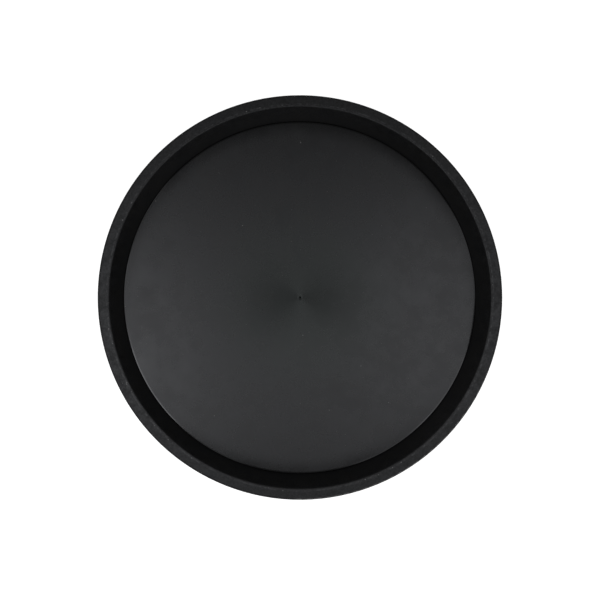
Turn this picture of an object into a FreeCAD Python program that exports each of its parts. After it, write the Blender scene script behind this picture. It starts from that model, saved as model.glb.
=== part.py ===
"""Round non-slip serving tray, 355 mm across, as a parametric document.

Five separate pieces share one axis, +Z, with the resting plane at Z = 0:

    tray_shell        rigid moulding: well floor, leaning side wall, flat lip and a short skirt
    rim_hoop          round steel wire that stiffens the hollow lip
    rim_closing_ring  moulded ring that closes the hollow lip from below
    non_slip_mat      loose elastomer mat that fills the well floor and lifts straight out
    foot_ring         elastomer ring pressed into a channel under the base

Every section is drawn as (radius, height) on the XZ plane and turned about Z.
"""

import FreeCAD, Part
import os

import Sketcher

# Alias, value and meaning. Millimetres, except wall_lean in degrees and the counts.
SIZES = (
    ("rim_radius", 177.5, "outer radius of the lip"),
    ("overall_height", 26.0, "resting plane to the top of the lip"),
    ("shell_wall", 2.4, "thickness of the floor, side wall and lip"),
    ("well_radius", 155.5, "radius of the well floor, where the side wall starts"),
    ("wall_lean", 29.7, "lean of the side wall from the vertical"),
    ("base_clearance", 2.4, "shell underside above the resting plane"),
    ("skirt_depth", 8.0, "height of the skirt that hangs from the lip's outer edge"),
    ("skirt_wall", 2.2, "thickness of the skirt"),
    ("lip_inner_round", 1.3, "round from the lip into the well"),
    ("lip_outer_round", 1.6, "round from the lip onto the skirt"),
    ("skirt_round", 0.5, "round on the skirt's lower outer edge"),
    ("well_round", 0.8, "round between the well floor and the side wall"),
    ("base_round", 4.0, "outer round between the base and the side wall"),
    ("closing_ring_wall", 1.6, "thickness of the closing ring"),
    ("closing_ring_rebate", 0.9, "step in the skirt that the closing ring seats against"),
    ("closing_ring_bead", 0.5, "height of the bead that holds the hoop up"),
    ("seam_gap", 0.1, "gap round a fitted ring"),
    ("hoop_radius", 172.3, "centre line radius of the wire hoop"),
    ("wire_radius", 1.6, "radius of the wire"),
    ("hoop_clearance", 0.1, "gap between the wire and the webs that hold it"),
    ("web_thickness", 1.5, "thickness of a web in the hollow lip"),
    ("web_count", 24, "webs in the hollow lip"),
    ("mat_thickness", 2.4, "thickness of the mat"),
    ("mat_gap", 0.2, "gap between the mat and the side wall"),
    ("mat_top_round", 0.5, "round on the mat's upper edge"),
    ("mat_bottom_round", 1.0, "round on the mat's lower edge"),
    ("dish_radius", 3.0, "shallow dish round the mat's gate mark"),
    ("dish_depth", 0.2, "depth of that dish"),
    ("gate_radius", 0.8, "gate mark at the centre of the mat"),
    ("gate_depth", 1.2, "depth of the gate mark"),
    ("drain_groove_width", 4.0, "width of a drain groove under the mat"),
    ("drain_groove_depth", 0.7, "depth of a drain groove"),
    ("drain_groove_first", 20.0, "centre radius of the innermost drain groove"),
    ("drain_groove_pitch", 18.0, "radial spacing of the drain grooves"),
    ("foot_radius", 146.3, "centre line radius of the foot ring"),
    ("foot_width", 6.6, "width of the foot ring"),
    ("foot_round", 1.2, "round on the foot ring's lower edges"),
    ("foot_gap", 0.05, "gap between the foot ring and its channel"),
    ("channel_wall", 1.5, "thickness of the two ribs that hold the foot ring"),
    ("channel_depth", 1.5, "height of those ribs"),
    ("rib_height", 1.2, "height of the stiffening ribs under the base"),
    ("rib_thickness", 1.6, "thickness of the stiffening ribs"),
    ("rib_count", 12, "radial ribs under the base"),
    ("hub_radius", 18.0, "inner radius of the hub ring under the base"),
    ("middle_ring_radius", 80.0, "inner radius of the middle ring under the base"),
    ("sprue_radius", 1.6, "stub left by the shell's gate, under the base"),
    ("sprue_height", 0.6, "height of that stub"),
)
DRAIN_GROOVES = 8
MERGE = 0.5  # how far a rib or web runs into the wall that it grows from
SAME_PLACE = 1e-3

FLOOR_TOP = "(sizes.base_clearance + sizes.shell_wall)"
LIP_TOP = "sizes.overall_height"
LIP_UNDERSIDE = "(sizes.overall_height - sizes.shell_wall)"
SKIRT_BOTTOM = "(sizes.overall_height - sizes.skirt_depth)"
RING_TOP = f"({SKIRT_BOTTOM} + sizes.closing_ring_wall)"
BEAD_TOP = f"({RING_TOP} + sizes.closing_ring_bead)"
SKIRT_INSIDE = "(sizes.rim_radius - sizes.skirt_wall)"
REBATE_INSIDE = f"({SKIRT_INSIDE} + sizes.closing_ring_rebate)"
HOOP_HEIGHT = f"({BEAD_TOP} + sizes.wire_radius)"
NOTCH_HALF = "(sizes.wire_radius + sizes.hoop_clearance)"
MAT_TOP = f"({FLOOR_TOP} + sizes.mat_thickness)"
CHANNEL_BOTTOM = "(sizes.base_clearance - sizes.channel_depth)"
CHANNEL_INSIDE = "(sizes.foot_radius - sizes.foot_width / 2)"
CHANNEL_OUTSIDE = "(sizes.foot_radius + sizes.foot_width / 2)"
RIB_BOTTOM = "(sizes.base_clearance - sizes.rib_height)"


def wall_inside(height):
    """Radius of the side wall's inner face at a height."""
    return f"(sizes.well_radius + ({height} - {FLOOR_TOP}) * tan(sizes.wall_lean))"


def wall_outside(height):
    """Radius of the side wall's outer face at a height."""
    return f"({wall_inside(height)} + sizes.shell_wall / cos(sizes.wall_lean))"


# ---------------------------------------------------------------- document helpers


def make_sizes(doc):
    """The spreadsheet of driving dimensions. It keeps the name sizes, which the expressions use."""
    sheet = doc.addObject("Spreadsheet::Sheet", "sizes")
    for row, (alias, value, meaning) in enumerate(SIZES, start=1):
        sheet.set(f"A{row}", meaning)
        sheet.set(f"B{row}", str(value))
        sheet.setAlias(f"B{row}", alias)
    doc.recompute()


def make_body(doc, label):
    body = doc.addObject("PartDesign::Body", label)
    body.Label = label
    return body


def make_section(body, name, *outlines):
    """A sketch on the body's XZ plane. Each outline is a dict of corner name to (radius, height)
    expressions, joined in order by straight sides. Returns the sketch and each corner's side."""
    sketch = body.newObject("Sketcher::SketchObject", name)
    plane = next(f for f in body.Origin.OriginFeatures if f.Role == "XZ_Plane")
    sketch.AttachmentSupport = [(plane, "")]
    sketch.MapMode = "FlatFace"
    side_of = {}
    for outline in outlines:
        side_of.update(add_outline(sketch, outline))
    sketch.Document.recompute()
    return sketch, side_of


def add_outline(sketch, corners):
    """Draws one closed loop and ties each corner's place to its two expressions."""
    first, count = sketch.GeometryCount, len(corners)
    rough = [FreeCAD.Vector(10 + i, 10 + i * i / count, 0) for i in range(count)]
    for i in range(count):
        sketch.addGeometry(Part.LineSegment(rough[i], rough[(i + 1) % count]), False)
    for i in range(count):
        joined = Sketcher.Constraint("Coincident", first + i, 2, first + (i + 1) % count, 1)
        sketch.addConstraint(joined)
    for i, (corner, (radius, height)) in enumerate(corners.items()):
        if radius == "0":
            sketch.addConstraint(Sketcher.Constraint("PointOnObject", first + i, 1, -2))
        else:
            tie(sketch, "DistanceX", first + i, rough[i].x, f"{corner}_r", radius)
        if height == "0":
            sketch.addConstraint(Sketcher.Constraint("PointOnObject", first + i, 1, -1))
        else:
            tie(sketch, "DistanceY", first + i, rough[i].y, f"{corner}_z", height)
    return {corner: first + i for i, corner in enumerate(corners)}


def tie(sketch, kind, side, value, name, expression):
    """Measures a side's start point from the origin and binds that distance to the sheet."""
    index = sketch.addConstraint(Sketcher.Constraint(kind, -1, 1, side, 1, value))
    sketch.renameConstraint(index, name)
    sketch.setExpression(f"Constraints.{name}", expression)


def turn(body, kind, name, sketch):
    """A Revolution or a Groove of the whole sketch about Z."""
    feature = body.newObject(f"PartDesign::{kind}", name)
    feature.Profile = sketch
    feature.ReferenceAxis = (sketch, ["V_Axis"])
    feature.Angle = 360
    sketch.Document.recompute()
    return feature


def round_corners(body, name, section, corners, radius):
    """Rounds the ring-shaped edges that stand on the named corners of a section."""
    sketch, side_of = section
    base = body.Tip
    edges = []
    for corner in corners:
        point = sketch.Geometry[side_of[corner]].StartPoint
        for number, edge in enumerate(base.Shape.Edges, start=1):
            if is_ring(edge, point.x, point.y):
                edges.append(f"Edge{number}")
    if len(edges) < len(corners):
        raise ValueError(f"{name}: found {len(edges)} edges for {corners}")
    fillet = body.newObject("PartDesign::Fillet", name)
    fillet.Base = (base, edges)
    fillet.setExpression("Radius", radius)
    sketch.Document.recompute()
    return fillet


def is_ring(edge, radius, height):
    """True if the edge is a circle about Z with that radius, at that height."""
    if not isinstance(edge.Curve, Part.Circle):
        return False
    centre = edge.Curve.Center
    return (
        abs(edge.Curve.Radius - radius) < SAME_PLACE
        and abs(centre.z - height) < SAME_PLACE
        and abs(centre.x) + abs(centre.y) < SAME_PLACE
    )


def add_blades(body, name, corners, thickness, count):
    """Thin upright walls, evenly spaced round Z, each with the given outline in section."""
    sketch, _ = make_section(body, f"{name}_outline", corners)
    pad = body.newObject("PartDesign::Pad", f"{name}_first")
    pad.Profile = sketch
    pad.SideType = "Symmetric"
    pad.setExpression("Length", thickness)
    body.Document.recompute()
    pattern = body.newObject("PartDesign::PolarPattern", name)
    pattern.Originals = [pad]
    pattern.Axis = (sketch, ["V_Axis"])
    pattern.Angle = 360
    pattern.setExpression("Occurrences", count)
    body.Tip = pattern
    body.Document.recompute()
    return pattern


# ---------------------------------------------------------------- the five pieces


def tray_shell(doc):
    """Well floor, leaning wall, flat lip and skirt in one wall thickness, with ribs below."""
    body = make_body(doc, "tray_shell")
    section = make_section(body, "shell_section", {
        "floor_centre": ("0", FLOOR_TOP),
        "floor_edge": ("sizes.well_radius", FLOOR_TOP),
        "lip_inner": (wall_inside(LIP_TOP), LIP_TOP),
        "lip_outer": ("sizes.rim_radius", LIP_TOP),
        "skirt_outer": ("sizes.rim_radius", SKIRT_BOTTOM),
        "rebate_mouth": (REBATE_INSIDE, SKIRT_BOTTOM),
        "rebate_end": (REBATE_INSIDE, RING_TOP),
        "ledge": (SKIRT_INSIDE, RING_TOP),
        "skirt_root": (SKIRT_INSIDE, LIP_UNDERSIDE),
        "wall_root": (wall_outside(LIP_UNDERSIDE), LIP_UNDERSIDE),
        "base_edge": (wall_outside("sizes.base_clearance"), "sizes.base_clearance"),
        "outer_rib_root": (f"({CHANNEL_OUTSIDE} + sizes.channel_wall)", "sizes.base_clearance"),
        "outer_rib_foot": (f"({CHANNEL_OUTSIDE} + sizes.channel_wall)", CHANNEL_BOTTOM),
        "channel_outer_foot": (CHANNEL_OUTSIDE, CHANNEL_BOTTOM),
        "channel_outer_root": (CHANNEL_OUTSIDE, "sizes.base_clearance"),
        "channel_inner_root": (CHANNEL_INSIDE, "sizes.base_clearance"),
        "channel_inner_foot": (CHANNEL_INSIDE, CHANNEL_BOTTOM),
        "inner_rib_foot": (f"({CHANNEL_INSIDE} - sizes.channel_wall)", CHANNEL_BOTTOM),
        "inner_rib_root": (f"({CHANNEL_INSIDE} - sizes.channel_wall)", "sizes.base_clearance"),
        "sprue_root": ("sizes.sprue_radius", "sizes.base_clearance"),
        "sprue_foot": ("sizes.sprue_radius * 0.7", "(sizes.base_clearance - sizes.sprue_height)"),
        "sprue_centre": ("0", "(sizes.base_clearance - sizes.sprue_height)"),
    })
    turn(body, "Revolution", "shell_turned", section[0])
    round_corners(body, "lip_inner_rounded", section, ["lip_inner"], "sizes.lip_inner_round")
    round_corners(body, "lip_outer_rounded", section, ["lip_outer"], "sizes.lip_outer_round")
    round_corners(body, "skirt_rounded", section, ["skirt_outer"], "sizes.skirt_round")
    round_corners(body, "well_rounded", section, ["floor_edge"], "sizes.well_round")
    round_corners(body, "base_rounded", section, ["base_edge"], "sizes.base_round")
    add_base_rings(body)
    add_base_ribs(body)
    add_rim_webs(body)
    return body


def add_base_rings(body):
    """Two low rings under the base: the hub ring and the middle ring."""
    rings = []
    for name in ("hub_radius", "middle_ring_radius"):
        inside, outside = f"sizes.{name}", f"(sizes.{name} + sizes.rib_thickness)"
        buried = f"(sizes.base_clearance + {MERGE})"
        rings.append({
            f"{name}_inner_foot": (inside, RIB_BOTTOM),
            f"{name}_outer_foot": (outside, RIB_BOTTOM),
            f"{name}_outer_root": (outside, buried),
            f"{name}_inner_root": (inside, buried),
        })
    sketch, _ = make_section(body, "base_rings_outline", *rings)
    turn(body, "Revolution", "base_rings", sketch)


def add_base_ribs(body):
    """Radial ribs from the hub ring out to the foot channel."""
    start = "(sizes.hub_radius + sizes.rib_thickness / 2)"
    end = f"({CHANNEL_INSIDE} - sizes.channel_wall / 2)"
    buried = f"(sizes.base_clearance + {MERGE})"
    outline = {
        "rib_start_foot": (start, RIB_BOTTOM),
        "rib_end_foot": (end, RIB_BOTTOM),
        "rib_end_root": (end, buried),
        "rib_start_root": (start, buried),
    }
    add_blades(body, "base_ribs", outline, "sizes.rib_thickness", "sizes.rib_count")


def add_rim_webs(body):
    """Webs across the hollow lip, each notched from below so that the hoop snaps up into it."""
    web_foot = f"({RING_TOP} + sizes.seam_gap)"
    buried_top = f"({LIP_UNDERSIDE} + {MERGE})"
    buried_side = f"({SKIRT_INSIDE} + {MERGE})"
    notch_in = f"(sizes.hoop_radius - {NOTCH_HALF})"
    notch_out = f"(sizes.hoop_radius + {NOTCH_HALF})"
    notch_top = f"({HOOP_HEIGHT} + {NOTCH_HALF})"
    outline = {
        "web_wall_foot": (f"({wall_outside(web_foot)} - {MERGE})", web_foot),
        "web_wall_top": (f"({wall_outside(buried_top)} - {MERGE})", buried_top),
        "web_skirt_top": (buried_side, buried_top),
        "web_skirt_foot": (buried_side, web_foot),
        "notch_outer_foot": (notch_out, web_foot),
        "notch_outer_top": (notch_out, notch_top),
        "notch_inner_top": (notch_in, notch_top),
        "notch_inner_foot": (notch_in, web_foot),
    }
    add_blades(body, "rim_webs", outline, "sizes.web_thickness", "sizes.web_count")


def rim_hoop(doc):
    """A closed ring of round steel wire."""
    hoop = doc.addObject("Part::Torus", "rim_hoop")
    hoop.Label = "rim_hoop"
    hoop.setExpression("Radius1", "sizes.hoop_radius")
    hoop.setExpression("Radius2", "sizes.wire_radius")
    hoop.setExpression(".Placement.Base.z", HOOP_HEIGHT)
    return hoop


def rim_closing_ring(doc):
    """Flat ring flush with the skirt's lower edge, with a bead that bears on the hoop."""
    body = make_body(doc, "rim_closing_ring")
    bead_in = "(sizes.hoop_radius - sizes.wire_radius / 2)"
    bead_out = "(sizes.hoop_radius + sizes.wire_radius / 2)"
    outside = f"({REBATE_INSIDE} - sizes.seam_gap)"
    section = make_section(body, "closing_ring_section", {
        "inner_bottom": (f"({wall_outside(SKIRT_BOTTOM)} + sizes.seam_gap)", SKIRT_BOTTOM),
        "outer_bottom": (outside, SKIRT_BOTTOM),
        "outer_top": (outside, RING_TOP),
        "bead_outer_root": (bead_out, RING_TOP),
        "bead_outer_top": (bead_out, BEAD_TOP),
        "bead_inner_top": (bead_in, BEAD_TOP),
        "bead_inner_root": (bead_in, RING_TOP),
        "inner_top": (f"({wall_outside(RING_TOP)} + sizes.seam_gap)", RING_TOP),
    })
    turn(body, "Revolution", "closing_ring_turned", section[0])
    return body


def non_slip_mat(doc):
    """Mat whose side leans with the wall, with a rounded upper edge and a gate mark."""
    body = make_body(doc, "non_slip_mat")
    section = make_section(body, "mat_section", {
        "gate_centre": ("0", f"({MAT_TOP} - sizes.gate_depth)"),
        "gate_bottom": ("sizes.gate_radius * 0.6", f"({MAT_TOP} - sizes.gate_depth)"),
        "gate_mouth": ("sizes.gate_radius", f"({MAT_TOP} - sizes.dish_depth)"),
        "dish_edge": ("sizes.dish_radius", MAT_TOP),
        "top_edge": (f"({wall_inside(MAT_TOP)} - sizes.mat_gap)", MAT_TOP),
        "bottom_edge": (f"({wall_inside(FLOOR_TOP)} - sizes.mat_gap)", FLOOR_TOP),
        "bottom_centre": ("0", FLOOR_TOP),
    })
    turn(body, "Revolution", "mat_turned", section[0])
    round_corners(body, "mat_top_rounded", section, ["top_edge"], "sizes.mat_top_round")
    round_corners(body, "mat_bottom_rounded", section, ["bottom_edge"], "sizes.mat_bottom_round")
    sketch, _ = make_section(body, "drain_outlines", *map(drain_groove, range(DRAIN_GROOVES)))
    turn(body, "Groove", "drain_grooves", sketch)
    return body


def drain_groove(number):
    """Outline of one ring groove in the mat's underside."""
    centre = f"(sizes.drain_groove_first + {number} * sizes.drain_groove_pitch)"
    inside = f"({centre} - sizes.drain_groove_width / 2)"
    outside = f"({centre} + sizes.drain_groove_width / 2)"
    below = f"({FLOOR_TOP} - {MERGE})"
    top = f"({FLOOR_TOP} + sizes.drain_groove_depth)"
    return {
        f"drain_{number}_inner_foot": (inside, below),
        f"drain_{number}_outer_foot": (outside, below),
        f"drain_{number}_outer_top": (outside, top),
        f"drain_{number}_inner_top": (inside, top),
    }


def foot_ring(doc):
    """Soft ring that stands below its channel and carries the tray."""
    body = make_body(doc, "foot_ring")
    inside = f"({CHANNEL_INSIDE} + sizes.foot_gap)"
    outside = f"({CHANNEL_OUTSIDE} - sizes.foot_gap)"
    section = make_section(body, "foot_section", {
        "inner_bottom": (inside, "0"),
        "outer_bottom": (outside, "0"),
        "outer_top": (outside, "sizes.base_clearance"),
        "inner_top": (inside, "sizes.base_clearance"),
    })
    turn(body, "Revolution", "foot_turned", section[0])
    bottoms = ["inner_bottom", "outer_bottom"]
    round_corners(body, "foot_rounded", section, bottoms, "sizes.foot_round")
    return body


# ---------------------------------------------------------------- checks and export


def check(doc, pieces):
    """Stops if any object failed to recompute or any piece isn't a sound closed solid."""
    for thing in doc.Objects:
        if "Invalid" in thing.State or "Error" in thing.State:
            raise RuntimeError(f"{thing.Name} failed: {thing.State}")
    for piece in pieces:
        shape = piece.Shape
        if shape.isNull() or not shape.isValid() or len(shape.Solids) != 1:
            raise RuntimeError(f"{piece.Label} isn't one valid solid")


def main():
    doc = FreeCAD.newDocument("serving_tray")
    make_sizes(doc)
    makers = (tray_shell, rim_hoop, rim_closing_ring, non_slip_mat, foot_ring)
    pieces = [make(doc) for make in makers]
    doc.recompute()
    check(doc, pieces)
    os.makedirs("parts", exist_ok=True)
    for piece in pieces:
        piece.Shape.exportStep(f"parts/{piece.Label}.step")
        box = piece.Shape.BoundBox
        print(f"{piece.Label}: {piece.Shape.Volume / 1000:.1f} cm3, {box.ZMin:.2f} to {box.ZMax:.2f} mm")


main()
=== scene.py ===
"""Looks of a round non-slip serving tray: the mat's finished mesh, every material, the studio and the camera.

Lengths are in metres, angles in degrees. The tray stands on z = 0, centred on the Z axis.
"""

import math

import bpy
import numpy as np
from mathutils import Matrix, Vector


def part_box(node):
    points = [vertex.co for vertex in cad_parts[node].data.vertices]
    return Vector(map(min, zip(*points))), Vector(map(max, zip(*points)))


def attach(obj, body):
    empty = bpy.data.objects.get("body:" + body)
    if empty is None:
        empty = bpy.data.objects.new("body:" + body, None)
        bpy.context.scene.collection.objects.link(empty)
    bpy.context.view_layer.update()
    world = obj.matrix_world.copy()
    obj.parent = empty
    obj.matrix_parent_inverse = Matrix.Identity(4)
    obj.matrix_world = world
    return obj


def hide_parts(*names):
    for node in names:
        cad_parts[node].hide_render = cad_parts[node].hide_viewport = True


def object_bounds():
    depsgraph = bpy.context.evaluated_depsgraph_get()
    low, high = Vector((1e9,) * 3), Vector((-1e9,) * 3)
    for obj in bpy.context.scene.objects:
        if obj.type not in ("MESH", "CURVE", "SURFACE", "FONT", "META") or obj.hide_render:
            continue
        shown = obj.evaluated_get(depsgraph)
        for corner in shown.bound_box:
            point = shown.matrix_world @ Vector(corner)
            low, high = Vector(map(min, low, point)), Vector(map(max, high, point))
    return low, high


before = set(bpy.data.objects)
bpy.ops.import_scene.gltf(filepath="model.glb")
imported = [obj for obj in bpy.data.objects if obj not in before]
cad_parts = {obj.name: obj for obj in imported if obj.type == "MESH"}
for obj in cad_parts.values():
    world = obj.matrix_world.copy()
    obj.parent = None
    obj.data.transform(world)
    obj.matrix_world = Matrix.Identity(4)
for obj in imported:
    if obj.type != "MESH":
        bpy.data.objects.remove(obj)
cad_low, cad_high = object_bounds()

MM = 0.001
SEGMENTS = 360

# The mat: what its top, edge and underside add to the solid that the frame holds. The solid's upper edge has
# a round of its own (SOLID_ROUND), and the finished side stands a little inside the solid's (SIDE_SETBACK).
MAT_LOW, MAT_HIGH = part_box("non_slip_mat")
WALL_LEAN = math.radians(29.7)
SOLID_ROUND = 0.5 * MM
SIDE_SETBACK = 0.15 * MM
BEVEL_WIDTH = 0.75 * MM
BEVEL_TILT = math.radians(11.0)
EDGE_ROUND = 0.3 * MM
BOTTOM_ROUND = 0.5 * MM
CROWN_WIDTH = 16.0 * MM
CROWN_DROP = 0.40 * MM
DISH_RADIUS = 3.0 * MM
DISH_DEPTH = 0.2 * MM
DISH_CLEARANCE = 0.9 * MM
GATE_RADIUS = 0.8 * MM
GATE_DEPTH = 1.2 * MM
PIT_FLOOR_RADIUS = 0.08 * MM
PIT_KNEE_RADIUS = 0.48 * MM
BURR_HALF_WIDTH = 0.2 * MM
BURR_HEIGHT = 0.05 * MM
BURR_CLEARANCE = 0.08 * MM
GROOVE_FIRST = 20.0 * MM
GROOVE_PITCH = 18.0 * MM
GROOVE_COUNT = 8
GROOVE_HALF_WIDTH = 2.0 * MM
GROOVE_DEPTH = 0.7 * MM
GROOVE_SHOULDER = 0.1 * MM
UNDERSIDE_INSET = 0.2 * MM

# The foot ring: a tread of fine waves between its rounded lower corners.
FOOT_LOW, FOOT_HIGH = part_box("foot_ring")
FOOT_WIDTH = 6.5 * MM
FOOT_ROUND = 1.2 * MM
TREAD_WAVES = 5
TREAD_DEPTH = 0.25 * MM
STEPS_PER_WAVE = 12

# The rim's rounded edges, where hands and other trays rub, with a painted highlight along the inner one:
# radius and height of each one's middle.
LIP_TOP = cad_high.z
LIP_INNER_EDGE = (169.5 * MM, LIP_TOP)
LIP_OUTER_EDGE = (cad_high.x - 0.5 * MM, LIP_TOP - 0.5 * MM)

# Soft lights: name, direction round the tray from +X, height above the horizon, size, radiance.
LIGHT_DISTANCE = 1.1
LIGHTS = (
    ("left", 180, 74, 0.3, 0.95),
    ("left_low", 180, 58, 0.3, 1.00),
    ("left_front", 210, 74, 0.3, 1.00),
    ("left_key", 210, 58, 0.3, 2.90),
    ("left_back", 150, 58, 0.3, 0.40),
    ("right", 0, 74, 0.3, 1.10),
    ("right_back", 14, 58, 0.3, 0.60),
    ("right_front", 330, 66, 0.3, 0.64),
    ("right_low", 330, 58, 0.3, 0.88),
    ("front", 300, 82, 0.3, 0.48),
    ("overhead", 0, 90, 0.5, 0.41),
    ("front_left", 238, 58, 0.3, 0.35),
    ("front_right", 305, 58, 0.3, 0.60),
    ("front_low", 275, 32, 0.8, 0.38),
    ("back_skim", 138, 14, 0.4, 0.34),
    ("front_skim", 318, 14, 0.4, 0.34),
)

# The surroundings: an even light, and what a narrow band at the horizon adds to it.
AMBIENT = 0.115
HORIZON = 0.50
HORIZON_NARROWNESS = 4.0

# The floor: its glow when seen at a slant and from above, the upward parts of the view between which it
# changes, the distances from the axis between which it fades to white, its albedo and side length, and
# how far it lies below the tray.
FLOOR_GLOW = (0.65, 0.95)
FLOOR_VIEW = (0.3, 0.95)
FLOOR_FADE = (0.15, 1.4)
FLOOR_ALBEDO = 0.8
FLOOR_SIZE = 24.0
FLOOR_GAP = 0.05 * MM

# The camera looks down from just left of the middle and a little towards the front.
CAMERA_OFFSET = (-33 * MM, -21 * MM)
CAMERA_HEIGHT = 1.5
CAMERA_LENS = 102.78


# ---------------------------------------------------------------- meshes

def arc(centre, radius, start, end, steps):
    """Points on an arc in the (radius, height) plane, from the start angle to the end angle."""
    angles = np.radians(np.linspace(start, end, steps + 1))
    return [(centre[0] + radius * math.cos(a), centre[1] + radius * math.sin(a)) for a in angles]


def lathe(name, outline):
    """A closed mesh made by turning an outline about Z. The outline runs clockwise, seen with +Z up and the
    radius to the right: from the axis back to the axis, or round a section that stays clear of the axis."""
    angles = np.linspace(0, 2 * math.pi, SEGMENTS, endpoint=False)
    solid = outline[0][0] == 0
    rings = outline[1:-1] if solid else outline
    points = [(0, 0, outline[0][1]), (0, 0, outline[-1][1])] if solid else []
    starts = [len(points) + i * SEGMENTS for i in range(len(rings))]
    for radius, height in rings:
        points += [(radius * math.cos(a), radius * math.sin(a), height) for a in angles]
    pairs = list(zip(starts, starts[1:] if solid else starts[1:] + starts[:1]))
    faces = []
    for i in range(SEGMENTS):
        j = (i + 1) % SEGMENTS
        if solid:
            faces.append((0, starts[0] + i, starts[0] + j))
            faces.append((1, starts[-1] + j, starts[-1] + i))
        faces += [(upper + i, lower + i, lower + j, upper + j) for upper, lower in pairs]
    mesh = bpy.data.meshes.new(name)
    mesh.from_pydata(points, [], faces)
    mesh.shade_smooth()
    mesh.update()
    piece = bpy.data.objects.new(name, mesh)
    bpy.context.scene.collection.objects.link(piece)
    return piece


def mat_top_height(radius, crown_end):
    """Height of the mat's top: a shallow dish round the gate mark, a flat, then a crown to the bevel."""
    height = MAT_HIGH.z
    if radius < DISH_RADIUS:
        height -= DISH_DEPTH * (1 + math.cos(math.pi * radius / DISH_RADIUS)) / 2
    crown = max(0.0, 1 - (crown_end - radius) / CROWN_WIDTH)
    return height - CROWN_DROP * crown ** 3


def gate_outline():
    """The moulding gate's mark: a conical pit with a low burr round its mouth."""
    floor = MAT_HIGH.z - GATE_DEPTH
    pit = [(0, floor), (PIT_FLOOR_RADIUS, floor), (PIT_KNEE_RADIUS, MAT_HIGH.z - GATE_DEPTH / 2)]
    burr_middle = GATE_RADIUS + BURR_HALF_WIDTH
    burr_base = mat_top_height(burr_middle, crown_end=MAT_HIGH.x)
    burr = [
        (burr_middle - BURR_HALF_WIDTH * math.cos(a), burr_base + BURR_HEIGHT * math.sin(a))
        for a in np.linspace(0, math.pi, 9)
    ]
    return pit + burr


def side_radius(height):
    """Radius of the mat's leaning side, which runs along the tray's wall."""
    middle = (MAT_HIGH.x - SIDE_SETBACK - SOLID_ROUND, MAT_HIGH.z - SOLID_ROUND)
    return middle[0] + SOLID_ROUND / math.cos(WALL_LEAN) + (height - middle[1]) * math.tan(WALL_LEAN)


def round_in_side(height, radius):
    """Middle of a round at a height, such that the round just touches the leaning side."""
    return side_radius(height) - radius / math.cos(WALL_LEAN), height


def mat_edge_outline():
    """The mat's edge: a narrow bevel, a tight round, the leaning side, then a round at the bottom."""
    across, down = BEVEL_WIDTH * math.cos(BEVEL_TILT), BEVEL_WIDTH * math.sin(BEVEL_TILT)
    bevel_top = MAT_HIGH.z - CROWN_DROP
    upper = round_in_side(bevel_top - down - EDGE_ROUND * math.cos(BEVEL_TILT), EDGE_ROUND)
    lower = round_in_side(MAT_LOW.z + BOTTOM_ROUND, BOTTOM_ROUND)
    lean = -math.degrees(WALL_LEAN)
    edge = arc(upper, EDGE_ROUND, 90 - math.degrees(BEVEL_TILT), lean, steps=12)
    return [(edge[0][0] - across, bevel_top)] + edge + arc(lower, BOTTOM_ROUND, lean, -90, steps=6)


def mat_underside_outline(outer):
    """Drain grooves in the mat's underside, from the edge in to the axis."""
    points = [(outer - UNDERSIDE_INSET, MAT_LOW.z)]
    for i in reversed(range(GROOVE_COUNT)):
        middle = GROOVE_FIRST + i * GROOVE_PITCH
        mouth = [
            (middle + GROOVE_HALF_WIDTH * math.cos(a), MAT_LOW.z + GROOVE_DEPTH * math.sin(a))
            for a in np.linspace(0, math.pi, 11)
        ]
        before = (mouth[0][0] + GROOVE_SHOULDER, MAT_LOW.z)
        after = (mouth[-1][0] - GROOVE_SHOULDER, MAT_LOW.z)
        points += [before] + mouth + [after]
    return points + [(0, MAT_LOW.z)]


def make_mat():
    """The loose mat in its finished form."""
    dish = np.linspace(GATE_RADIUS + 2 * BURR_HALF_WIDTH + BURR_CLEARANCE, DISH_RADIUS, 8)
    edge = mat_edge_outline()
    crown_end = edge[0][0]
    flat = np.linspace(DISH_RADIUS + DISH_CLEARANCE, crown_end - CROWN_WIDTH, 24)
    crown = np.linspace(crown_end - CROWN_WIDTH, crown_end, 32)[1:-1]
    top = [(r, mat_top_height(r, crown_end)) for r in (*dish, *flat, *crown)]
    mat = lathe("mat_finished", gate_outline() + top + edge + mat_underside_outline(edge[-1][0]))
    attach(mat, "mat")
    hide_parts("non_slip_mat")
    return mat


def foot_outline():
    """The foot ring's section: straight pressed-in sides, rounded lower corners and a wavy tread."""
    outer, inner = FOOT_HIGH.x, FOOT_HIGH.x - FOOT_WIDTH
    corner_height = FOOT_LOW.z + FOOT_ROUND
    tread_span = FOOT_WIDTH - 2 * FOOT_ROUND
    tread = [
        (outer - FOOT_ROUND - part * tread_span,
         FOOT_LOW.z + TREAD_DEPTH * (1 - math.cos(2 * math.pi * TREAD_WAVES * part)) / 2)
        for part in np.linspace(0, 1, STEPS_PER_WAVE * TREAD_WAVES + 1)[1:-1]
    ]
    top = [(inner, FOOT_HIGH.z), (outer, FOOT_HIGH.z)]
    outer_corner = arc((outer - FOOT_ROUND, corner_height), FOOT_ROUND, 0, -90, steps=8)
    inner_corner = arc((inner + FOOT_ROUND, corner_height), FOOT_ROUND, -90, -180, steps=8)
    return top + outer_corner + tread + inner_corner


def make_foot():
    """The foot ring in its finished form."""
    foot = lathe("foot_ring_finished", foot_outline())
    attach(foot, "tray")
    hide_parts("foot_ring")
    return foot


# ---------------------------------------------------------------- shader helpers

def add_node(tree, kind, inputs=None, **settings):
    """Adds a shader node. Inputs are given by name or index, each a value or the socket that feeds it."""
    node = tree.nodes.new(kind)
    for name, value in settings.items():
        setattr(node, name, value)
    for name, value in (inputs or {}).items():
        if isinstance(value, bpy.types.NodeSocket):
            tree.links.new(value, node.inputs[name])
        else:
            node.inputs[name].default_value = value
    return node


def compute(tree, operation, *values):
    """One step of arithmetic on sockets or numbers."""
    return add_node(tree, "ShaderNodeMath", dict(enumerate(values)), operation=operation).outputs[0]


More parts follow.
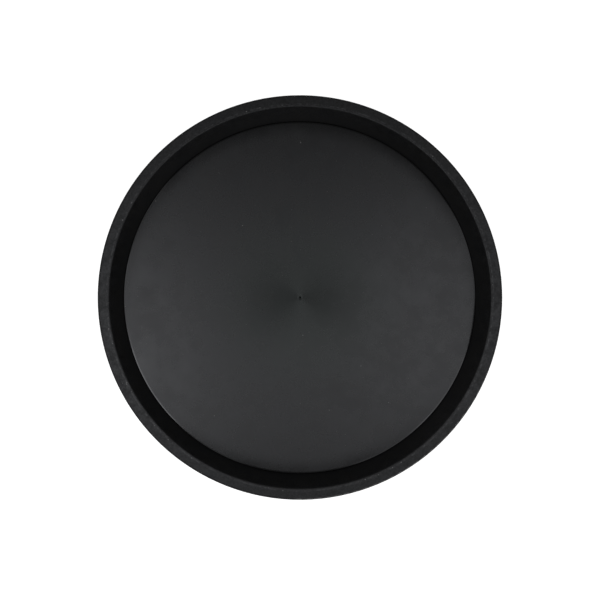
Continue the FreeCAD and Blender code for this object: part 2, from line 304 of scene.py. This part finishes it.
def times(tree, first, second):
    return compute(tree, "MULTIPLY", first, second)


def larger(tree, first, second):
    return compute(tree, "MAXIMUM", first, second)


def add_scaled(tree, base, value, amount):
    """base + value * amount."""
    return compute(tree, "MULTIPLY_ADD", value, amount, base)


def length(tree, first, second):
    """Length of a diagonal, from its two sides."""
    squares = compute(tree, "ADD", times(tree, first, first), times(tree, second, second))
    return compute(tree, "SQRT", squares)


def remap(tree, value, low, high, to_low=0.0, to_high=1.0):
    """Takes value from low..high to to_low..to_high with soft ends, and holds it there outside."""
    inputs = {"Value": value, "From Min": low, "From Max": high, "To Min": to_low, "To Max": to_high}
    return add_node(tree, "ShaderNodeMapRange", inputs, interpolation_type="SMOOTHSTEP").outputs[0]


def position(tree):
    """The point on the piece, in the tray's frame, wherever the piece has moved to."""
    return add_node(tree, "ShaderNodeTexCoord").outputs["Object"]


def noise(tree, vector, size, detail=2.0):
    """Soft noise from 0 to 1, with features of about the given size."""
    inputs = {"Vector": vector, "Scale": 1 / size, "Detail": detail}
    return add_node(tree, "ShaderNodeTexNoise", inputs).outputs[0]


def split(tree, vector):
    return add_node(tree, "ShaderNodeSeparateXYZ", {0: vector}).outputs


def radius_of(tree, point):
    """Distance from the tray's axis."""
    x, y, _ = split(tree, point)
    return length(tree, x, y)


def height_of(tree, point):
    """Height above the plane that the tray stands on."""
    return split(tree, point)[2]


def near_ring(tree, point, ring, reach):
    """1 on a circle round the axis, falling to 0 at the given distance from it."""
    ring_radius, ring_height = ring
    off_radius = compute(tree, "SUBTRACT", radius_of(tree, point), ring_radius)
    off_height = compute(tree, "SUBTRACT", height_of(tree, point), ring_height)
    return remap(tree, length(tree, off_radius, off_height), 0.0, reach, 1.0, 0.0)


def specks(tree, point, spacing, radius, share):
    """1 inside small specks on faces that look up. There is about one to each square of the spacing, and
    only the given share of them is kept."""
    inputs = {"Vector": point, "Scale": 1 / spacing}
    cells = add_node(tree, "ShaderNodeTexVoronoi", inputs, voronoi_dimensions="2D")
    size = radius / spacing
    inside = remap(tree, cells.outputs["Distance"], SPECK_CORE * size, size, 1.0, 0.0)
    kept = compute(tree, "LESS_THAN", split(tree, cells.outputs["Color"])[0], share)
    upward = split(tree, add_node(tree, "ShaderNodeNewGeometry").outputs["True Normal"])[2]
    settled = compute(tree, "GREATER_THAN", upward, SPECK_UPWARD)
    return times(tree, times(tree, inside, kept), settled)


def mix_colour(tree, factor, first, second):
    inputs = {0: factor, 6: first, 7: second}
    return add_node(tree, "ShaderNodeMix", inputs, data_type="RGBA").outputs[2]


def bump(tree, height, depth):
    """A normal bent by a height from 0 to 1 that stands for the given depth."""
    inputs = {"Height": height, "Distance": depth, "Strength": 1.0}
    return add_node(tree, "ShaderNodeBump", inputs).outputs[0]


def new_material(name, surface_inputs):
    """A material with one Principled surface, whose inputs the given function works out in the node tree."""
    material = bpy.data.materials.new(name)
    material.use_nodes = True
    tree = material.node_tree
    tree.nodes.clear()
    surface = add_node(tree, "ShaderNodeBsdfPrincipled", surface_inputs(tree))
    output = add_node(tree, "ShaderNodeOutputMaterial")
    tree.links.new(surface.outputs[0], output.inputs[0])
    return material


def paint(piece, material):
    piece.data.materials.clear()
    piece.data.materials.append(material)


# ---------------------------------------------------------------- materials

COOL_BLACK = (0.0030, 0.0031, 0.0033, 1)
WARM_BLACK = (0.0040, 0.0038, 0.0036, 1)
DUST = (0.16, 0.16, 0.16, 1)
# Lighter colour of the lip's edges: scuffing at both, and along the inner one also a painted highlight.
SCUFFED_AND_HIGHLIGHT = (0.045, 0.046, 0.048, 1)
# Tints of the reflections, painted to stand in for the lights' colour: cool blue, greener at the mat's
# centre.
COOL_LIGHT_TINT = (0.94, 0.955, 1.0, 1)
GREEN_LIGHT_TINT = (0.90, 0.98, 0.98, 1)
RUBBER_BLACK = (0.008, 0.008, 0.008, 1)
RUBBER_GREY = (0.05, 0.05, 0.048, 1)
BRIGHT_STEEL = (0.56, 0.56, 0.55, 1)
DULL_STEEL = (0.30, 0.27, 0.24, 1)

# Where the values of a noise mostly lie, where spots of scuffing and painted highlight on the lip's edges
# begin and fill in, and the same for patches.
NOISE_SPAN = (0.35, 0.65)
EDGE_SPOT_SPAN = (0.42, 0.62)
PATCH_SPAN = (0.45, 0.7)

# Specks: the share of each one's radius that is solid, and the least upward part of the normal of a face
# that they settle on.
SPECK_CORE = 0.6
SPECK_UPWARD = 0.7

# The mat: its roughness, what patches, wipe marks, streaks, the bevel and dust do to it, and how sheen,
# the painted tint of the lights' colour in its reflections, and brushing change from the centre out. The
# streaks' size is an angle in radians, and their pitch says how much they change along a metre of run.
MAT_ROUGHNESS = 0.14
PATCH_ROUGHNESS = 0.05
WIPE_ROUGHNESS = 0.17
STREAK_ROUGHNESS = 0.04
BEVEL_POLISH = -0.14
DUST_ROUGHNESS = 0.9
BEVEL_FINISH = (MAT_HIGH.x - 1.8 * MM, MAT_HIGH.x - 1.3 * MM)
SHEEN = (0.42, 0.53)
SHEEN_REACH = 65 * MM
LIGHT_TINT_REACH = 110 * MM
BRUSHING = 0.6
BRUSHING_REACH = 85 * MM
STREAK_SIZE = 0.09
STREAK_PITCH = 4.0
STREAK_START = 1.0 * MM
MAT_GRAIN_DEPTH = 0.003 * MM

# The shell: its roughness, what broad patches, handling marks and wear add to it, how much lighter colour
# shows on the lip's edges, as scuffing and on the inner edge also as a painted highlight, its sheen, and the
# heights between which the handling marks come in.
SHELL_ROUGHNESS = 0.37
BROAD_ROUGHNESS = 0.06
MARK_ROUGHNESS = 0.14
WEAR_POLISH = -0.12
WEAR_AND_HIGHLIGHT_SHARE = 0.7
SHELL_SHEEN = 0.43
SHEEN_CHANGE = 0.07
SHELL_GRAIN_DEPTH = 0.03 * MM
HANDLED_HEIGHTS = (0.3 * LIP_TOP, 0.8 * LIP_TOP)

# The foot ring: its roughness, what patches add to it, and the heights between which the greying fades.
FOOT_ROUGHNESS = 0.65
FOOT_PATCH_ROUGHNESS = 0.15
FOOT_GRAIN_DEPTH = 0.04 * MM
FOOT_RUBBED_HEIGHTS = (0.1 * MM, 0.7 * MM)

# The steel hoop: its roughness, and what oxide adds to it.
HOOP_ROUGHNESS = 0.28
OXIDE_ROUGHNESS = 0.25
HOOP_LINE_DEPTH = 0.01 * MM


def black_tint(tree, point):
    """Two near blacks, drifting from one into the other."""
    drift = remap(tree, noise(tree, point, 14 * MM), *NOISE_SPAN)
    return mix_colour(tree, drift, COOL_BLACK, WARM_BLACK)


def flow_streaks(tree, point):
    """Faint streaks that run out from the gate, where the melt flowed."""
    radius = radius_of(tree, point)
    inverse = compute(tree, "DIVIDE", 1.0, larger(tree, radius, STREAK_START))
    outward = add_node(tree, "ShaderNodeVectorMath", {0: point, "Scale": inverse}, operation="SCALE")
    x, y, _ = split(tree, outward.outputs[0])
    ray = add_node(tree, "ShaderNodeCombineXYZ", {0: x, 1: y, 2: times(tree, radius, STREAK_PITCH)})
    return noise(tree, ray.outputs[0], STREAK_SIZE, detail=3.0)


def mat_inputs(tree):
    """Satin black elastomer: grain, flow streaks, wipe marks, dust, a smoother edge and painted reflection
    tints.
    """
    point = position(tree)
    radius = radius_of(tree, point)
    grain = noise(tree, point, 0.45 * MM)
    coarse_dust = specks(tree, point, spacing=26 * MM, radius=0.55 * MM, share=0.10)
    fine_dust = specks(tree, point, spacing=8 * MM, radius=0.25 * MM, share=0.06)
    dust = larger(tree, coarse_dust, fine_dust)
    rough = add_scaled(tree, MAT_ROUGHNESS, noise(tree, point, 35 * MM), PATCH_ROUGHNESS)
    rough = add_scaled(tree, rough, noise(tree, point, 15 * MM, detail=4.0), WIPE_ROUGHNESS)
    rough = add_scaled(tree, rough, flow_streaks(tree, point), STREAK_ROUGHNESS)
    rough = add_scaled(tree, rough, remap(tree, radius, *BEVEL_FINISH), BEVEL_POLISH)
    # Painted tint of the lights' colour in the reflections: greener at the centre, bluer further out.
    light_tint = remap(tree, radius, 0.0, LIGHT_TINT_REACH)
    return {
        "Base Color": mix_colour(tree, dust, black_tint(tree, point), DUST),
        "Roughness": larger(tree, rough, times(tree, dust, DUST_ROUGHNESS)),
        "Specular IOR Level": remap(tree, radius, 0.0, SHEEN_REACH, *SHEEN),
        "Specular Tint": mix_colour(tree, light_tint, GREEN_LIGHT_TINT, COOL_LIGHT_TINT),
        "Anisotropic": remap(tree, radius, 0.0, BRUSHING_REACH, BRUSHING, 0.0),
        "Tangent": add_node(tree, "ShaderNodeTangent", direction_type="RADIAL", axis="Z").outputs[0],
        "Normal": bump(tree, grain, MAT_GRAIN_DEPTH),
    }


def shell_inputs(tree):
    """Rigid black moulding: grained, marked where it is handled, scuffed and nicked at the lip's edges, with
    a painted highlight along the inner edge and a painted cool tint of the lights in its reflections.
    """
    point = position(tree)
    grain = noise(tree, point, 0.7 * MM, detail=3.0)
    # The lip's edges get a lighter colour: scuffing, and along the inner edge also a painted highlight.
    inner = near_ring(tree, point, LIP_INNER_EDGE, reach=1.1 * MM)
    outer = near_ring(tree, point, LIP_OUTER_EDGE, reach=0.9 * MM)
    rubbed = remap(tree, noise(tree, point, 3.0 * MM, detail=5.0), *EDGE_SPOT_SPAN)
    wear_and_highlight = times(tree, larger(tree, inner, outer), rubbed)
    nicks = times(tree, inner, specks(tree, point, spacing=4 * MM, radius=0.7 * MM, share=0.16))
    dust = specks(tree, point, spacing=12 * MM, radius=0.3 * MM, share=0.1)
    handled = remap(tree, height_of(tree, point), *HANDLED_HEIGHTS)
    marks = remap(tree, noise(tree, point, 6 * MM, detail=6.0), *NOISE_SPAN, -0.5, 0.5)
    polish = remap(tree, noise(tree, point, 1.4 * MM), *NOISE_SPAN, -SHEEN_CHANGE, SHEEN_CHANGE)
    rough = add_scaled(tree, SHELL_ROUGHNESS, noise(tree, point, 25 * MM, detail=3.0), BROAD_ROUGHNESS)
    rough = add_scaled(tree, rough, times(tree, marks, handled), MARK_ROUGHNESS)
    worn_and_highlighted = mix_colour(tree, times(tree, wear_and_highlight, WEAR_AND_HIGHLIGHT_SHARE), black_tint(tree, point), SCUFFED_AND_HIGHLIGHT)
    return {
        "Base Color": mix_colour(tree, larger(tree, dust, nicks), worn_and_highlighted, DUST),
        "Roughness": add_scaled(tree, rough, wear_and_highlight, WEAR_POLISH),
        "Specular IOR Level": add_scaled(tree, SHELL_SHEEN, polish, handled),
        # A painted cool tint of the lights' colour in the reflections.
        "Specular Tint": COOL_LIGHT_TINT,
        "Normal": bump(tree, grain, SHELL_GRAIN_DEPTH),
    }


def foot_inputs(tree):
    """Matte black rubber, greyed a little where it drags over tables."""
    point = position(tree)
    grain = noise(tree, point, 0.6 * MM, detail=3.0)
    rubbed = remap(tree, height_of(tree, point), *FOOT_RUBBED_HEIGHTS, 1.0, 0.0)
    patches = remap(tree, noise(tree, point, 6 * MM, detail=4.0), *PATCH_SPAN)
    return {
        "Base Color": mix_colour(tree, times(tree, rubbed, patches), RUBBER_BLACK, RUBBER_GREY),
        "Roughness": add_scaled(tree, FOOT_ROUGHNESS, patches, FOOT_PATCH_ROUGHNESS),
        "Normal": bump(tree, grain, FOOT_GRAIN_DEPTH),
    }


def hoop_inputs(tree):
    """Drawn steel wire, with fine lines along it and dull patches of oxide."""
    point = position(tree)
    dull = remap(tree, noise(tree, point, 5 * MM, detail=4.0), *PATCH_SPAN)
    lines = noise(tree, height_of(tree, point), 0.2 * MM)
    return {
        "Base Color": mix_colour(tree, dull, BRIGHT_STEEL, DULL_STEEL),
        "Metallic": 1.0,
        "Roughness": add_scaled(tree, HOOP_ROUGHNESS, dull, OXIDE_ROUGHNESS),
        "Normal": bump(tree, lines, HOOP_LINE_DEPTH),
    }


# ---------------------------------------------------------------- studio

def make_floor():
    """A white floor with a glow of its own: it stays pale, takes a soft shadow and shows no far edge."""
    mesh = bpy.data.meshes.new("floor")
    half = FLOOR_SIZE / 2
    corners = [(-half, -half, 0), (half, -half, 0), (half, half, 0), (-half, half, 0)]
    mesh.from_pydata(corners, [], [(0, 1, 2, 3)])
    floor = bpy.data.objects.new("floor", mesh)
    floor.location.z = -FLOOR_GAP
    bpy.context.scene.collection.objects.link(floor)
    material = bpy.data.materials.new("floor_white")
    material.use_nodes = True
    tree = material.node_tree
    tree.nodes.clear()
    white = add_node(tree, "ShaderNodeBsdfDiffuse", {"Color": (FLOOR_ALBEDO,) * 3 + (1,)})
    upward = split(tree, add_node(tree, "ShaderNodeNewGeometry").outputs["Incoming"])[2]
    near_glow = remap(tree, upward, *FLOOR_VIEW, *FLOOR_GLOW)
    distant = remap(tree, radius_of(tree, position(tree)), *FLOOR_FADE)
    missing = compute(tree, "SUBTRACT", 1.0, near_glow)
    strength = add_scaled(tree, near_glow, distant, missing)
    glow = add_node(tree, "ShaderNodeEmission", {"Strength": strength})
    both = add_node(tree, "ShaderNodeAddShader", {0: white.outputs[0], 1: glow.outputs[0]})
    add_node(tree, "ShaderNodeOutputMaterial", {0: both.outputs[0]})
    paint(floor, material)


def make_light(name, around, height, size, radiance):
    """A square soft light that faces the tray and isn't seen by the camera."""
    turn = math.radians(around)
    rise = math.radians(height)
    direction = Vector((math.cos(turn) * math.cos(rise), math.sin(turn) * math.cos(rise), math.sin(rise)))
    light = bpy.data.lights.new(name, "AREA")
    light.shape = "SQUARE"
    light.size = size
    light.energy = radiance * math.pi * size ** 2
    lamp = bpy.data.objects.new(name, light)
    lamp.location = direction * LIGHT_DISTANCE
    lamp.rotation_mode = "QUATERNION"
    lamp.rotation_quaternion = direction.to_track_quat("Z", "Y")
    lamp.visible_camera = False
    bpy.context.scene.collection.objects.link(lamp)


def make_world():
    """White to the camera. Everything else gets a dimmer light, which grows towards the horizon."""
    world = bpy.data.worlds.new("studio")
    world.use_nodes = True
    tree = world.node_tree
    tree.nodes.clear()
    seen = add_node(tree, "ShaderNodeLightPath").outputs["Is Camera Ray"]
    up = split(tree, add_node(tree, "ShaderNodeTexCoord").outputs["Generated"])[2]
    sideways = compute(tree, "SUBTRACT", 1.0, compute(tree, "ABSOLUTE", up))
    band = compute(tree, "POWER", sideways, HORIZON_NARROWNESS)
    lit = add_scaled(tree, AMBIENT, band, HORIZON)
    strength = compute(tree, "ADD", lit, seen)
    background = add_node(tree, "ShaderNodeBackground", {"Strength": strength, "Color": (1, 1, 1, 1)})
    add_node(tree, "ShaderNodeOutputWorld", {0: background.outputs[0]})
    bpy.context.scene.world = world


def make_camera():
    """Nearly straight down on the tray, with +Y up in the picture."""
    camera = bpy.data.objects.new("camera", bpy.data.cameras.new("camera"))
    camera.data.lens = CAMERA_LENS
    # The rim's near side looks larger, so the aim moves off the axis until the rim's outline is centred.
    keystone = (cad_high.x / CAMERA_HEIGHT) ** 2
    target = Vector((CAMERA_OFFSET[0] * keystone, CAMERA_OFFSET[1] * keystone, LIP_TOP))
    camera.location = Vector((*CAMERA_OFFSET, LIP_TOP + CAMERA_HEIGHT))
    back = (camera.location - target).normalized()
    right = Vector((0, 1, 0)).cross(back).normalized()
    camera.rotation_euler = Matrix((right, back.cross(right), back)).transposed().to_euler()
    bpy.context.scene.collection.objects.link(camera)
    bpy.context.scene.camera = camera


def make_studio():
    make_floor()
    make_world()
    make_camera()
    for setup in LIGHTS:
        make_light(*setup)
    bpy.context.scene.view_settings.view_transform = "Standard"


# ---------------------------------------------------------------- the tray

paint(make_mat(), new_material("mat_elastomer", mat_inputs))
shell_plastic = new_material("shell_moulding", shell_inputs)
paint(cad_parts["tray_shell"], shell_plastic)
paint(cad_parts["rim_closing_ring"], shell_plastic)
paint(make_foot(), new_material("foot_elastomer", foot_inputs))
paint(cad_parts["rim_hoop"], new_material("hoop_wire", hoop_inputs))
make_studio()
